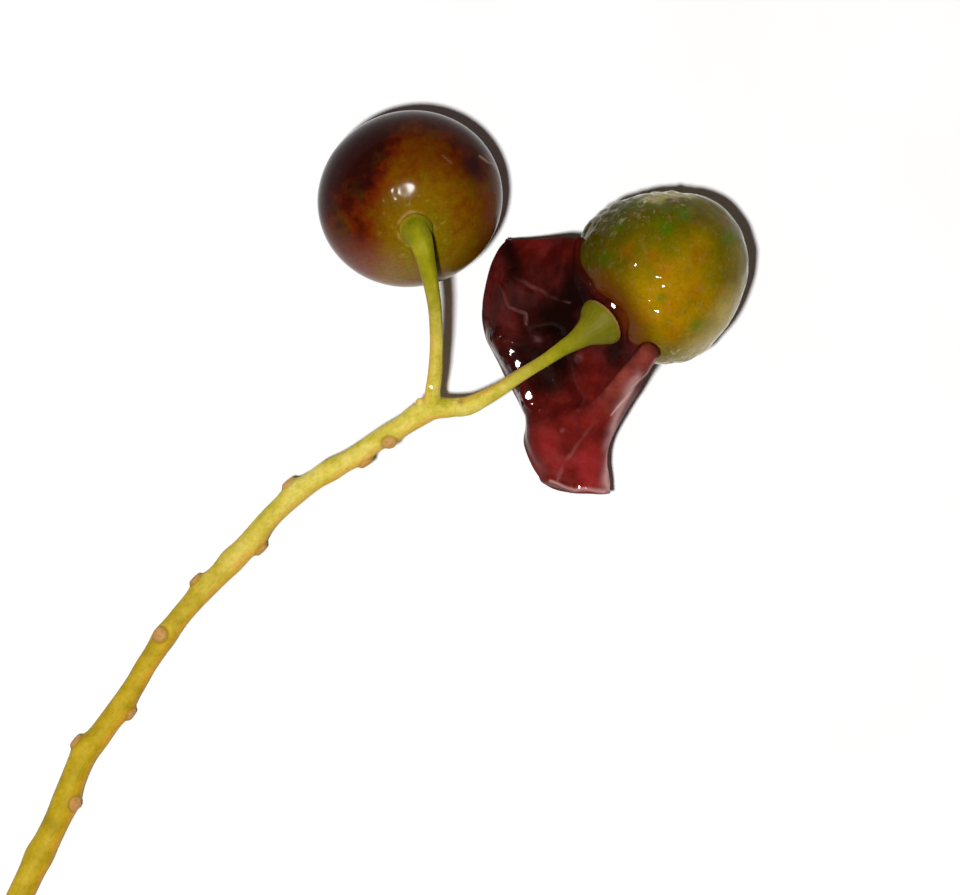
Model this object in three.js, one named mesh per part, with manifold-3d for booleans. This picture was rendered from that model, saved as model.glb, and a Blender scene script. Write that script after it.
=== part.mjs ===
// Bird cherry sprig: a cut stalk that forks to one whole cherry and one peeled cherry,
// with the peel turned back under the stalk. It lies down, resting on its two cherries.

import * as THREE from 'three';
import { mergeVertices } from 'three/addons/utils/BufferGeometryUtils.js';
import Module from 'manifold-3d';

const wasm = await Module();
wasm.setup();

// Driving dimensions in millimetres. X and Y lie on the table, Z is up, the fork is at X 0, Y 0.

const WHOLE_CENTRE = [-1.08, 8.95, 3.8];
const WHOLE_RADII = [4.04, 3.82, 3.88];
const WHOLE_TURN = 18;
const WHOLE_STALK_POLE = [0.076, -0.382, 0.921];
const WHOLE_DISC_REACH = 3.68;
const WHOLE_DIMPLE = { depth: 0.3, inner: 0.24, outer: 0.55 };

const FLESH_CENTRE = [9.88, 5.68, 3.66];
const FLESH_RADIUS = 3.74;
const FLESH_LOBES = { count: 3, height: 0.16, turn: 36 };
const FLESH_BUMP = 0.045;
const FLESH_STALK_POLE = [-0.706, -0.553, 0.443];
const FLESH_DISC_REACH = 3.66;
const FLESH_DIMPLE = { depth: 1.0, inner: 0.1, outer: 0.85 };

const FRUIT_SEGMENTS = 32;
const FRUIT_RINGS = 20;

const CLEARANCE = 0.1;

// Stalk paths: each point is [x, y, z, radius].

const RACHIS = [
  [1.3, -0.03, 3.45, 0.38],
  [0.6, -0.12, 3.42, 0.44],
  [-0.1, -0.15, 3.36, 0.5],
  [-0.75, -0.45, 3.24, 0.53],
  [-1.45, -0.92, 3.06, 0.45],
  [-2.5, -1.53, 2.76, 0.42],
  [-3.8, -2.4, 2.38, 0.43],
  [-5.15, -3.2, 1.98, 0.44],
  [-6.1, -3.9, 1.7, 0.46],
  [-7.15, -4.85, 1.38, 0.45],
  [-8.05, -5.9, 1.14, 0.48],
  [-9.1, -7.05, 0.94, 0.48],
  [-11.0, -9.05, 0.72, 0.45],
  [-12.5, -11.15, 0.64, 0.45],
  [-13.25, -12.4, 0.62, 0.46],
  [-14.65, -14.4, 0.63, 0.51],
  [-15.5, -15.6, 0.63, 0.55],
  [-16.5, -18.05, 0.64, 0.56],
  [-17.8, -20.7, 0.65, 0.57],
  [-20.2, -25.85, 0.65, 0.58],
];
const LEFT_PEDICEL = [
  [-0.35, -0.3, 3.3, 0.36],
  [-0.12, 0.2, 3.6, 0.38],
  [-0.1, 0.6, 3.84, 0.34],
  [0.0, 1.3, 4.3, 0.32],
  [0.05, 2.0, 4.84, 0.3],
  [0.08, 2.7, 5.4, 0.29],
  [0.05, 3.4, 5.98, 0.28],
  [0.0, 4.1, 6.56, 0.28],
  [-0.12, 4.8, 7.1, 0.29],
  [-0.27, 5.5, 7.56, 0.3],
  [-0.42, 6.1, 7.86, 0.31],
  [-0.56, 6.62, 7.98, 0.34],
  [-0.69, 7.05, 7.92, 0.38],
];
const RIGHT_PEDICEL = [
  [0.5, -0.12, 3.42, 0.38],
  [1.35, -0.06, 3.5, 0.41],
  [2.15, 0.3, 3.76, 0.35],
  [2.85, 0.7, 4.06, 0.31],
  [3.5, 1.15, 4.44, 0.3],
  [4.15, 1.55, 4.82, 0.29],
  [4.85, 2.02, 5.2, 0.28],
  [5.5, 2.5, 5.5, 0.29],
  [6.1, 2.88, 5.66, 0.33],
  [6.55, 3.12, 5.66, 0.4],
];
// How each pedicel flares as it meets its cherry: height over the disc's back, then radius.
const LEFT_FLARE = [[0.38, 0.46], [0.22, 0.54], [0.1, 0.62], [0.0, 0.68]];
const RIGHT_FLARE = [[0.5, 0.5], [0.3, 0.68], [0.14, 0.9], [0.0, 1.04]];

const STALK_SIDES = 10;
const RACHIS_STEPS = 54;
const PEDICEL_STEPS = 28;
const FLARE_GATHERING = 1.5;
const SCAR_SIDES = 10;
const SCAR_RINGS = 6;

// Scars of fallen fruit: distance from the stalk's upper end, then turn in degrees from the top
// of the stalk towards its left side.
const SCARS = [
  [0.3, 25],
  [3.75, -44],
  [5.25, -75],
  [6.8, 170],
  [8.5, 85],
  [11.3, -85],
  [12.8, 160],
  [14.1, 80],
  [17.05, 25],
  [20.6, -80],
  [23.05, 80],
  [25.2, -45],
  [28.3, 95],
  [31.4, -70],
];
const SCAR_HALF_LENGTH = 0.34;
const SCAR_HALF_WIDTH = 0.27;
const SCAR_STANDS_OUT = 0.17;
const NODE_SWELLING = 0.13;
const NODE_HALF_LENGTH = 0.55;

// The peel is a sheet through five lines, from the edge on the flesh to the free edge below.
// Each line runs from the upper left corner, under the stalk, to the right-hand side.
const PEEL_LINES = [
  [
    [6.62, 7.2, 6.03], [6.62, 6.19, 6.22], [6.88, 5.37, 5.84], [7.24, 4.89, 5.56], [7.79, 4.54, 5.89],
    [8.39, 4.06, 6.53], [8.82, 3.58, 6.66], [9.11, 3.14, 6.54], [9.44, 2.72, 6.41], [9.8, 2.4, 6.29],
  ],
  [
    [5.92, 7.19, 4.64], [5.81, 6.19, 4.87], [6.35, 5.11, 4.73], [6.95, 4.46, 4.51], [7.36, 3.91, 4.26],
    [7.72, 3.34, 4.19], [8.06, 2.92, 4.43], [8.47, 2.47, 4.88], [8.91, 2.02, 5.21], [9.4, 1.62, 5.24],
  ],
  [
    [5.2, 7.2, 2.7], [4.95, 6.15, 3.2], [5.05, 4.75, 3.7], [5.45, 3.6, 3.6], [6.05, 2.55, 3.3],
    [6.65, 1.8, 3.25], [7.15, 1.35, 3.55], [7.72, 1.08, 3.95], [8.32, 0.88, 3.75], [8.85, 0.75, 3.2],
  ],
  [
    [4.05, 7.13, 1.7], [3.5, 6.1, 1.95], [3.22, 4.6, 2.1], [3.45, 3.2, 2.2], [4.05, 1.65, 2.2],
    [4.9, -0.1, 2.2], [5.15, -1.4, 2.2], [5.9, -2.4, 2.4], [6.7, -2.2, 2.7], [7.5, -1.6, 2.7],
  ],
  [
    [3.35, 7.0, 0.6], [2.75, 6.0, 0.4], [2.47, 4.55, 0.34], [2.7, 3.15, 0.34], [3.45, 1.5, 0.34],
    [4.3, -0.5, 0.45], [4.28, -1.9, 0.8], [5.08, -3.3, 1.0], [6.2, -3.7, 1.5], [7.5, -3.75, 2.2],
  ],
];
const PEEL_THICKNESS = 0.6;
const PEEL_COLUMNS = 30;
const PEEL_ROWS = 18;
const PEEL_EASING = 0.2;

const COLOURS = {
  stalk: { color: 0xb9a83a, roughness: 0.55 },
  wholeCherry: { color: 0x5a2a14, roughness: 0.25 },
  flesh: { color: 0x8a7a1c, roughness: 0.3 },
  peel: { color: 0x5a0e12, roughness: 0.25 },
};

const UP = new THREE.Vector3(0, 0, 1);

// Helpers

const vector = ([x, y, z]) => new THREE.Vector3(x, y, z);

function unit(direction) {
  return vector(direction).normalize();
}

// A geometry with its normals and uv dropped and its repeated vertices merged into one.
function welded(geometry) {
  geometry.deleteAttribute('normal');
  geometry.deleteAttribute('uv');
  return mergeVertices(geometry, 1e-3);
}

function toSolid(geometry) {
  const vertProperties = new Float32Array(geometry.attributes.position.array);
  const triVerts = new Uint32Array(geometry.index.array);
  return new wasm.Manifold(new wasm.Mesh({ numProp: 3, vertProperties, triVerts }));
}

function toGeometry(solid) {
  const mesh = solid.getMesh();
  const geometry = new THREE.BufferGeometry();
  geometry.setAttribute('position', new THREE.BufferAttribute(mesh.vertProperties, 3));
  geometry.setIndex(new THREE.BufferAttribute(mesh.triVerts, 1));
  return geometry;
}

function namedMesh(name, geometry, look) {
  const material = new THREE.MeshStandardMaterial({ ...look, metalness: 0 });
  const mesh = new THREE.Mesh(geometry, material);
  mesh.name = name;
  return mesh;
}

// Stalk

// A smooth path with its length, radius and cross directions at any distance along it.
function stalkPath(points) {
  const curve = new THREE.CatmullRomCurve3(points.map(vector), false, 'catmullrom', 0.5);
  const length = curve.getLength();
  return {
    length,
    at(distance) {
      const along = THREE.MathUtils.clamp(distance / length, 0, 1);
      const station = curve.getUtoTmapping(along) * (points.length - 1);
      const before = Math.min(Math.floor(station), points.length - 2);
      const tangent = curve.getTangentAt(along);
      const left = new THREE.Vector3().crossVectors(tangent, UP).normalize();
      const top = new THREE.Vector3().crossVectors(left, tangent);
      const radius = THREE.MathUtils.lerp(points[before][3], points[before + 1][3], station - before);
      return { centre: curve.getPointAt(along), tangent, left, top, radius };
    },
  };
}

// A round bar bent along a path. Its rings gather towards its end where the gathering is over 1,
// and the swelling adds to its radius by distance and turn.
function bentBar(path, steps, gathering, swelling) {
  const bar = new THREE.CylinderGeometry(1, 1, 1, STALK_SIDES, steps);
  const position = bar.attributes.position;
  for (let i = 0; i < position.count; i++) {
    const remaining = Math.max(0.5 - position.getY(i), 0);
    const distance = (1 - remaining ** gathering) * path.length;
    const { centre, left, top, radius } = path.at(distance);
    const turn = Math.atan2(position.getX(i), position.getZ(i));
    const reach = radius + swelling(distance, turn);
    centre.addScaledVector(left, position.getX(i) * reach);
    centre.addScaledVector(top, position.getZ(i) * reach);
    position.setXYZ(i, centre.x, centre.y, centre.z);
  }
  return toSolid(welded(bar));
}

// The stalk is thicker on the side of each scar.
function nodeSwelling(distance, turn) {
  let swelling = 0;
  for (const [along, degrees] of SCARS) {
    const away = (distance - along) / NODE_HALF_LENGTH;
    const facing = (1 + Math.cos(turn - THREE.MathUtils.degToRad(degrees))) / 2;
    swelling += NODE_SWELLING * Math.exp(-away * away) * facing;
  }
  return swelling;
}

// An oval pad, half sunk in the side of the stalk.
function scarPad(path, along, degrees) {
  const { centre, tangent, left, top, radius } = path.at(along);
  const turn = THREE.MathUtils.degToRad(degrees);
  const outward = left.multiplyScalar(Math.sin(turn)).addScaledVector(top, Math.cos(turn));
  const across = new THREE.Vector3().crossVectors(tangent, outward);
  const pad = new THREE.SphereGeometry(1, SCAR_SIDES, SCAR_RINGS);
  pad.scale(SCAR_HALF_WIDTH, SCAR_HALF_LENGTH, SCAR_STANDS_OUT);
  pad.applyMatrix4(new THREE.Matrix4().makeBasis(across, tangent, outward));
  centre.addScaledVector(outward, radius + nodeSwelling(along, turn));
  pad.translate(centre.x, centre.y, centre.z);
  return toSolid(welded(pad));
}

// A pedicel ends square on its cherry, in a disc that flares like a trumpet.
function pedicel(points, fruitCentre, pole, reach, flare) {
  const axis = unit(pole);
  const discBack = vector(fruitCentre).addScaledVector(axis, reach);
  const flarePoints = flare.map(([height, radius]) => {
    const point = discBack.clone().addScaledVector(axis, height);
    return [point.x, point.y, point.z, radius];
  });
  const path = stalkPath([...points, ...flarePoints]);
  return bentBar(path, PEDICEL_STEPS, FLARE_GATHERING, () => 0);
}

function makeStalk() {
  const rachis = stalkPath(RACHIS);
  let solid = bentBar(rachis, RACHIS_STEPS, 1, nodeSwelling);
  for (const [along, degrees] of SCARS) {
    solid = solid.add(scarPad(rachis, along, degrees));
  }
  solid = solid.add(pedicel(LEFT_PEDICEL, WHOLE_CENTRE, WHOLE_STALK_POLE, WHOLE_DISC_REACH, LEFT_FLARE));
  solid = solid.add(pedicel(RIGHT_PEDICEL, FLESH_CENTRE, FLESH_STALK_POLE, FLESH_DISC_REACH, RIGHT_FLARE));
  return namedMesh('stalk', toGeometry(solid), COLOURS.stalk);
}

// Cherries

// A round hollow at the stalk's pole: full depth inside the inner angle, none past the outer one.
function dimpleDepth(direction, pole, { depth, inner, outer }) {
  const angle = direction.angleTo(unit(pole));
  return depth * (1 - THREE.MathUtils.smoothstep(angle, inner, outer));
}

// An ellipsoid turned about the vertical.
function wholeRadius(direction) {
  const turned = direction.clone().applyAxisAngle(UP, THREE.MathUtils.degToRad(-WHOLE_TURN));
  const ellipsoid = 1 / turned.divide(vector(WHOLE_RADII)).length();
  return ellipsoid - dimpleDepth(direction, WHOLE_STALK_POLE, WHOLE_DIMPLE);
}

// A ball with broad lobes round its sides and low bumps all over.
function fleshRadius(direction) {
  const side = Math.atan2(direction.y, direction.x) - THREE.MathUtils.degToRad(FLESH_LOBES.turn);
  const lobes = Math.cos(FLESH_LOBES.count * side) * (1 - direction.z * direction.z);
  const bump = Math.sin(5 * direction.x + 2) * Math.sin(6 * direction.y) * Math.sin(5 * direction.z + 1);
  const dimple = dimpleDepth(direction, FLESH_STALK_POLE, FLESH_DIMPLE);
  return FLESH_RADIUS + FLESH_LOBES.height * lobes + FLESH_BUMP * bump - dimple;
}

// A closed round body about its centre, flat where it rests on the table.
function fruitGeometry(centre, radiusTowards) {
  const fruit = new THREE.SphereGeometry(1, FRUIT_SEGMENTS, FRUIT_RINGS);
  fruit.rotateX(Math.PI / 2);
  const position = fruit.attributes.position;
  const direction = new THREE.Vector3();
  for (let i = 0; i < position.count; i++) {
    direction.fromBufferAttribute(position, i).normalize();
    const point = vector(centre).addScaledVector(direction, radiusTowards(direction));
    position.setXYZ(i, point.x, point.y, Math.max(point.z, 0));
  }
  return welded(fruit);
}

// Peel

// A smooth curve through evenly spaced points, by the Catmull-Rom rule.
function smoothThrough(points, along) {
  const station = along * (points.length - 1);
  const i = Math.min(Math.floor(station), points.length - 2);
  const t = station - i;
  const [b, c] = [points[i], points[i + 1]];
  const a = points[i - 1] ?? b.clone().multiplyScalar(2).sub(c);
  const d = points[i + 2] ?? c.clone().multiplyScalar(2).sub(b);
  return new THREE.Vector3()
    .addScaledVector(a, (-t + 2 * t * t - t * t * t) / 2)
    .addScaledVector(b, (2 - 5 * t * t + 3 * t * t * t) / 2)
    .addScaledVector(c, (t + 4 * t * t - 3 * t * t * t) / 2)
    .addScaledVector(d, (-t * t + t * t * t) / 2);
}

// The middle of the peel's thickness, eased outwards wherever it would sink in the flesh.
function peelMiddle(across, down) {
  const point = smoothThrough(PEEL_LINES.map((line) => smoothThrough(line.map(vector), across)), down);
  const fromFlesh = point.sub(vector(FLESH_CENTRE));
  const direction = fromFlesh.clone().normalize();
  const onFlesh = fleshRadius(direction) + CLEARANCE + PEEL_THICKNESS / 2;
  const gap = fromFlesh.length() - onFlesh;
  const reach = onFlesh + (gap + Math.hypot(gap, PEEL_EASING)) / 2;
  return vector(FLESH_CENTRE).addScaledVector(direction, reach);
}

function peelNormal(across, down) {
  const step = 0.01;
  const wide = peelMiddle(Math.min(across + step, 1), down).sub(peelMiddle(Math.max(across - step, 0), down));
  const long = peelMiddle(across, Math.min(down + step, 1)).sub(peelMiddle(across, Math.max(down - step, 0)));
  return wide.cross(long).normalize();
}

// A point of the upper face (side 0.5) or the lower face (side -0.5), held off the flesh.
function peelFace(across, down, side) {
  const point = peelMiddle(across, down);
  point.addScaledVector(peelNormal(across, down), side * PEEL_THICKNESS);
  const fromFlesh = point.sub(vector(FLESH_CENTRE));
  const direction = fromFlesh.clone().normalize();
  const reach = Math.max(fromFlesh.length(), fleshRadius(direction) + CLEARANCE);
  return vector(FLESH_CENTRE).addScaledVector(direction, reach);
}

// A closed sheet: an upper and a lower face split alike, and a strip round their edges.
function peelGeometry() {
  const corners = [];
  for (const side of [0.5, -0.5]) {
    for (let row = 0; row <= PEEL_ROWS; row++) {
      for (let column = 0; column <= PEEL_COLUMNS; column++) {
        const point = peelFace(column / PEEL_COLUMNS, row / PEEL_ROWS, side);
        corners.push(point.x, point.y, point.z);
      }
    }
  }
  const stride = PEEL_COLUMNS + 1;
  const layer = stride * (PEEL_ROWS + 1);
  const faces = [];
  for (let row = 0; row < PEEL_ROWS; row++) {
    for (let column = 0; column < PEEL_COLUMNS; column++) {
      const a = row * stride + column;
      const [b, c, d] = [a + 1, a + stride, a + stride + 1];
      faces.push(a, b, d, a, d, c);
      faces.push(a + layer, d + layer, b + layer, a + layer, c + layer, d + layer);
    }
  }
  const wall = (from, to) => faces.push(to, from, from + layer, to, from + layer, to + layer);
  for (let column = 0; column < PEEL_COLUMNS; column++) {
    wall(column, column + 1);
    wall(layer - 1 - column, layer - 2 - column);
  }
  for (let row = 0; row < PEEL_ROWS; row++) {
    wall((row + 1) * stride, row * stride);
    wall(row * stride + PEEL_COLUMNS, (row + 1) * stride + PEEL_COLUMNS);
  }
  const geometry = new THREE.BufferGeometry();
  geometry.setAttribute('position', new THREE.Float32BufferAttribute(corners, 3));
  geometry.setIndex(faces);
  return geometry;
}

// Whole sprig, moved so that its own box stands centred on the origin.

const sprig = new THREE.Group();
sprig.add(
  makeStalk(),
  namedMesh('whole_cherry', fruitGeometry(WHOLE_CENTRE, wholeRadius), COLOURS.wholeCherry),
  namedMesh('peeled_cherry', fruitGeometry(FLESH_CENTRE, fleshRadius), COLOURS.flesh),
  namedMesh('peel', peelGeometry(), COLOURS.peel),
);
const extent = new THREE.Box3().setFromObject(sprig);
const middle = extent.getCenter(new THREE.Vector3());
sprig.position.set(-middle.x, -middle.y, -extent.min.z);

export default sprig;
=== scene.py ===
import math
import bpy
import numpy as np
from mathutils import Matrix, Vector


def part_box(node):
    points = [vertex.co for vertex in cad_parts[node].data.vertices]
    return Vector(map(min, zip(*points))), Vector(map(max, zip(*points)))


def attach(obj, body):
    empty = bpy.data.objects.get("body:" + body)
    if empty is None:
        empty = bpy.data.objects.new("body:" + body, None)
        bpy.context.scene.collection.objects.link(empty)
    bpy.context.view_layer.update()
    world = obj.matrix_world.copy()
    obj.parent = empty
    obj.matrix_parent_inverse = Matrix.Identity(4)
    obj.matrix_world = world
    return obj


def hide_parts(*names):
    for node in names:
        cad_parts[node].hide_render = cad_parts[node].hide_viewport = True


# Looks of a bird cherry sprig: forked stalk, whole cherry, peeled cherry and its turned-back peel.
# Shapes are worked out in millimetres with the fork at 0, 0, and go to the row frame at the end.

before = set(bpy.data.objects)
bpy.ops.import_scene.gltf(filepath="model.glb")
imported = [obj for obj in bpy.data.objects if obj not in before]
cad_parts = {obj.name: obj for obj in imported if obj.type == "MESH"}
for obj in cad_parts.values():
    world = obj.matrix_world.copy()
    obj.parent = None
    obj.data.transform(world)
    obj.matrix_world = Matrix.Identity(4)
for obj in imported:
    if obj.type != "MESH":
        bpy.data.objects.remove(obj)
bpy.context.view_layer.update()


# numbers and noise

def tone(red, green, blue):
    # a 0 to 255 screen colour as linear red, green, blue, alpha
    screen = np.array([red, green, blue]) / 255
    linear = np.where(screen <= 0.04045, screen / 12.92, ((screen + 0.055) / 1.055) ** 2.4)
    return (*linear.tolist(), 1.0)


def smoothStep(values, low, high):
    # 0 below low, 1 above high, and a cubic between them
    t = np.clip((values - low) / (high - low), 0, 1)
    return t * t * (3 - 2 * t)


def unit(vectors):
    # vectors divided by their lengths
    vectors = np.asarray(vectors, float)
    return vectors / np.linalg.norm(vectors, axis=-1, keepdims=True)


def bell(distance, width):
    # 1 at distance 0, falling as exp of minus distance over width squared
    return np.exp(-(distance / width) ** 2)


def latticeNoise(points, scale, seed):
    # fixed values from -1 to 1 on a cube lattice, blended between the corners by a cubic
    spot = np.asarray(points, float) * scale + seed * 17.31
    cell = np.floor(spot).astype(np.int64)
    part = spot - cell
    part = part * part * (3 - 2 * part)
    total = np.zeros(spot.shape[:-1])
    for corner in range(8):
        step = np.array([corner & 1, corner >> 1 & 1, corner >> 2 & 1])
        key = ((cell + step) * np.array([73856093, 19349663, 83492791])).sum(-1) + seed * 40503
        key = (key ^ (key >> 13)) * 1274126177
        key = (key ^ (key >> 16)) & 65535
        weight = np.where(step == 1, part, 1 - part).prod(-1)
        total += weight * (key / 32767.5 - 1)
    return total


def layeredNoise(points, scale, layers, seed):
    # lattice noises, each with twice the scale and half the height of the one before
    return sum(latticeNoise(points, scale * 2 ** k, seed + k) * 0.5 ** k for k in range(layers))


def throughPoints(points, along):
    # Catmull-Rom curve through evenly spaced points, along from 0 to 1
    points = np.asarray(points, float)
    points = np.concatenate([[2 * points[0] - points[1]], points, [2 * points[-1] - points[-2]]])
    count = len(points) - 2
    station = np.clip(np.asarray(along, float), 0, 1) * (count - 1)
    i = np.clip(np.floor(station).astype(int), 0, count - 2)
    t = (station - i).reshape(station.shape + (1,) * (points.ndim - 1))
    a, b, c, d = points[i], points[i + 1], points[i + 2], points[i + 3]
    return 0.5 * ((-t + 2 * t ** 2 - t ** 3) * a + (2 - 5 * t ** 2 + 3 * t ** 3) * b
                  + (t + 4 * t ** 2 - 3 * t ** 3) * c + (-t ** 2 + t ** 3) * d)


def pathDistance(spots, path):
    # distance from flat spots to a line of straight pieces, and how far along it the nearest point is, 0 to 1
    path = np.asarray(path, float)
    lengths = np.linalg.norm(np.diff(path, axis=0), axis=1)
    starts = np.concatenate([[0], np.cumsum(lengths)])
    nearest = np.full(spots.shape[:-1], 1e9)
    along = np.zeros(spots.shape[:-1])
    for k in range(len(path) - 1):
        way = path[k + 1] - path[k]
        t = np.clip(((spots - path[k]) @ way) / (way @ way), 0, 1)
        gap = np.linalg.norm(spots - path[k] - t[..., None] * way, axis=-1)
        closer = gap < nearest
        nearest = np.where(closer, gap, nearest)
        along = np.where(closer, (starts[k] + t * lengths[k]) / starts[-1], along)
    return nearest, along


# meshes

wholeCentre = np.array([-1.08, 8.95, 3.8])     # of the whole cherry, in mm about the fork
lowCorner, highCorner = np.array(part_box("whole_cherry")) * 1000
rowShift = ((lowCorner + highCorner) / 2 - wholeCentre) * (1, 1, 0)    # level, to the middle of its CAD box


def toRow(points):
    # millimetres about the fork to metres in the row frame
    return (np.asarray(points, float).reshape(-1, 3) + rowShift) * 0.001


def newMesh(name, points, faces):
    # a mesh from an array of points and lists of point numbers
    mesh = bpy.data.meshes.new(name)
    mesh.from_pydata(points.tolist(), [], faces)
    return mesh


def newPiece(mesh, attributes):
    # a smooth-shaded object of the mesh, with one number a point for each attribute
    for key, values in attributes.items():
        layer = mesh.attributes.new(key, "FLOAT", "POINT")
        layer.data.foreach_set("value", np.asarray(values, np.float32).ravel())
    mesh.polygons.foreach_set("use_smooth", np.ones(len(mesh.polygons), bool))
    mesh.update()
    piece = bpy.data.objects.new(mesh.name, mesh)
    bpy.context.scene.collection.objects.link(piece)
    return piece


def gridFaces(rows, columns, wrapped, first=0):
    # four-cornered faces of a grid, joined round its columns where wrapped
    across = columns if wrapped else columns - 1
    row, column = np.meshgrid(np.arange(rows - 1), np.arange(across), indexing="ij")
    beside = (column + 1) % columns
    a = row * columns + column
    b = row * columns + beside
    return np.stack([a, b, b + columns, a + columns], -1).reshape(-1, 4) + first


def fan(tip, ring):
    # triangles from a tip to each side of a closed ring of points
    return np.stack([np.full(len(ring), tip), ring, np.roll(ring, -1)], -1).tolist()


def ballGrid(pole, rings, turns):
    # directions over a ball by angle from the pole and turn round it, the pole rows first and last
    pole = unit(pole)
    side = unit(np.cross([0, 0, 1], pole))
    other = np.cross(pole, side)
    angle = np.linspace(0, math.pi, rings)[:, None]
    turn = np.arange(turns)[None] * 2 * math.pi / turns
    return (np.cos(angle)[..., None] * pole + (np.sin(angle) * np.cos(turn))[..., None] * side
            + (np.sin(angle) * np.sin(turn))[..., None] * other)


def ballPiece(name, points, attributes):
    # a closed ball from a grid of points: each pole row becomes one point with a fan of triangles
    rings, turns = points.shape[:2]
    body = (rings - 2) * turns
    firstRing = np.arange(turns)
    lastRing = firstRing + body - turns
    corners = np.concatenate([points[1:-1].reshape(-1, 3), points[:1, 0], points[-1:, 0]])
    faces = gridFaces(rings - 2, turns, True)[:, ::-1].tolist()
    faces += fan(body, firstRing) + fan(body + 1, lastRing[::-1])
    kept = {key: np.concatenate([v[1:-1].ravel(), v[:1, 0], v[-1:, 0]]) for key, v in attributes.items()}
    return newPiece(newMesh(name, toRow(corners), faces), kept)


def dressed(piece, node, material):
    # a finished piece gets its material and its body, and the CAD node that it stands for is hidden
    piece.data.materials.append(material)
    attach(piece, "root")
    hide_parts(node)
    print("made", piece.name, len(piece.data.vertices), "points")


# materials

def startMaterial(name, finish):
    # a material with one shader, whose sockets get the plain values of the finish
    material = bpy.data.materials.new(name)
    material.use_nodes = True
    nodes = material.node_tree.nodes
    nodes.clear()
    shader = nodes.new("ShaderNodeBsdfPrincipled")
    output = nodes.new("ShaderNodeOutputMaterial")
    material.node_tree.links.new(shader.outputs[0], output.inputs["Surface"])
    for socket, value in finish.items():
        shader.inputs[socket].default_value = value
    return material, shader


def feed(material, socket, source):
    # a socket gets a node's output, or a plain value
    if isinstance(source, bpy.types.NodeSocket):
        material.node_tree.links.new(source, socket)
    else:
        socket.default_value = source


def attribute(material, name):
    # the number that newPiece put at each point
    node = material.node_tree.nodes.new("ShaderNodeAttribute")
    node.attribute_name = name
    return node.outputs["Fac"]


def calc(material, operation, first, second=0.0, third=0.0):
    # a Math node's result from sockets or plain values
    node = material.node_tree.nodes.new("ShaderNodeMath")
    node.operation = operation
    for socket, source in zip(node.inputs, (first, second, third)):
        feed(material, socket, source)
    return node.outputs[0]


def product(material, first, second):
    # one times the other
    return calc(material, "MULTIPLY", first, second)


def aroundZero(material, texture, share):
    # a noise less its middle value, times a share
    return product(material, calc(material, "SUBTRACT", texture, 0.5), share)


def ramp(material, factor, stops):
    # screen colours at places from 0 to 1
    node = material.node_tree.nodes.new("ShaderNodeValToRGB")
    elements = node.color_ramp.elements
    while len(elements) < len(stops):
        elements.new(0.5)
    for element, (place, colour) in zip(elements, stops):
        element.position = place
        element.color = tone(*colour)
    feed(material, node.inputs[0], factor)
    return node.outputs[0]


def mask(material, factor, low, high):
    # black up to low, white from high
    return ramp(material, factor, [(low, (0, 0, 0)), (high, (255, 255, 255))])


def blendColour(material, factor, first, second):
    # the first colour at 0, the second at 1
    node = material.node_tree.nodes.new("ShaderNodeMix")
    node.data_type = "RGBA"
    feed(material, node.inputs["Factor"], factor)
    feed(material, node.inputs[6], first)
    feed(material, node.inputs[7], second)
    return node.outputs[2]


def painted(material, base, marks):
    # colours laid over the base one after another, each by its attribute times its share
    for name, share, colour in marks:
        amount = product(material, attribute(material, name), share)
        base = blendColour(material, amount, base, tone(*colour))
    return base


def dusted(material, base, texture, level, share, colour):
    # a colour laid on where a noise rises above a level
    amount = product(material, calc(material, "SUBTRACT", texture, level), share)
    return blendColour(material, amount, base, tone(*colour))


def place(material, stretch=(1, 1, 1)):
    # the piece's own coordinates, in millimetres
    nodes = material.node_tree.nodes
    coordinates = nodes.new("ShaderNodeTexCoord")
    mapping = nodes.new("ShaderNodeMapping")
    mapping.inputs["Scale"].default_value = [1000 * s for s in stretch]
    material.node_tree.links.new(coordinates.outputs["Object"], mapping.inputs["Vector"])
    return mapping.outputs[0]


def noise(material, vector, scale, detail=2.0, roughness=0.5):
    # cloudy values round 0.5
    node = material.node_tree.nodes.new("ShaderNodeTexNoise")
    node.inputs["Scale"].default_value = scale
    node.inputs["Detail"].default_value = detail
    node.inputs["Roughness"].default_value = roughness
    feed(material, node.inputs["Vector"], vector)
    return node.outputs["Fac"]


def bump(material, height, distance, strength, before=None):
    # normals tilted by a height times a distance in metres, on top of another bump's where one is given
    node = material.node_tree.nodes.new("ShaderNodeBump")
    node.inputs["Strength"].default_value = strength
    node.inputs["Distance"].default_value = distance
    feed(material, node.inputs["Height"], height)
    if before is not None:
        feed(material, node.inputs["Normal"], before)
    return node.outputs[0]


# lamp and camera: the surfaces' highlights are worked out from them

flash = {
    "lean": (-0.09, -0.063),           # sideways over upwards, towards the left and below
    "distance": 0.32,                  # metres, as the size is
    "size": 0.018,
    "power": 1.15,                     # watts
}
surround = {"colour": (1.0, 0.76, 0.72, 1), "strength": 0.075}
view = {
    "aim": (1.957, -1.848, 3.0),       # the middle of the picture, in mm about the fork
    "height": 0.5,                     # metres over it
    "pixels": 960,                     # across the picture
    "pixelsPerMm": 23,
    "sensor": 36,
}
aim = np.array(view["aim"])


# surfaces

ballRadius = 3.8                       # mm, of the roundness that a large highlight takes out
facetEdge = 0.45                       # how uneven the outline of a small one is
facetDepth = 0.6                       # mm below the top that one may reach


def spotted(points, spots):
    # the sum of bells round spots seen from above: x, y, width and strength, which is 1 where none is given
    total = 0
    for x, y, width, *strength in spots:
        total = total + (strength or [1])[0] * bell(np.linalg.norm(points[..., :2] - (x, y), axis=-1), width)
    return total


def surfaceNormals(points, wrapped=False):
    # the grid's two ways crossed, the second way joined round where wrapped
    if wrapped:
        wide = np.roll(points, -1, 1) - np.roll(points, 1, 1)
    else:
        wide = np.gradient(points, axis=1)
    return unit(np.cross(np.gradient(points, axis=0), wide) + 1e-12)


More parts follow.
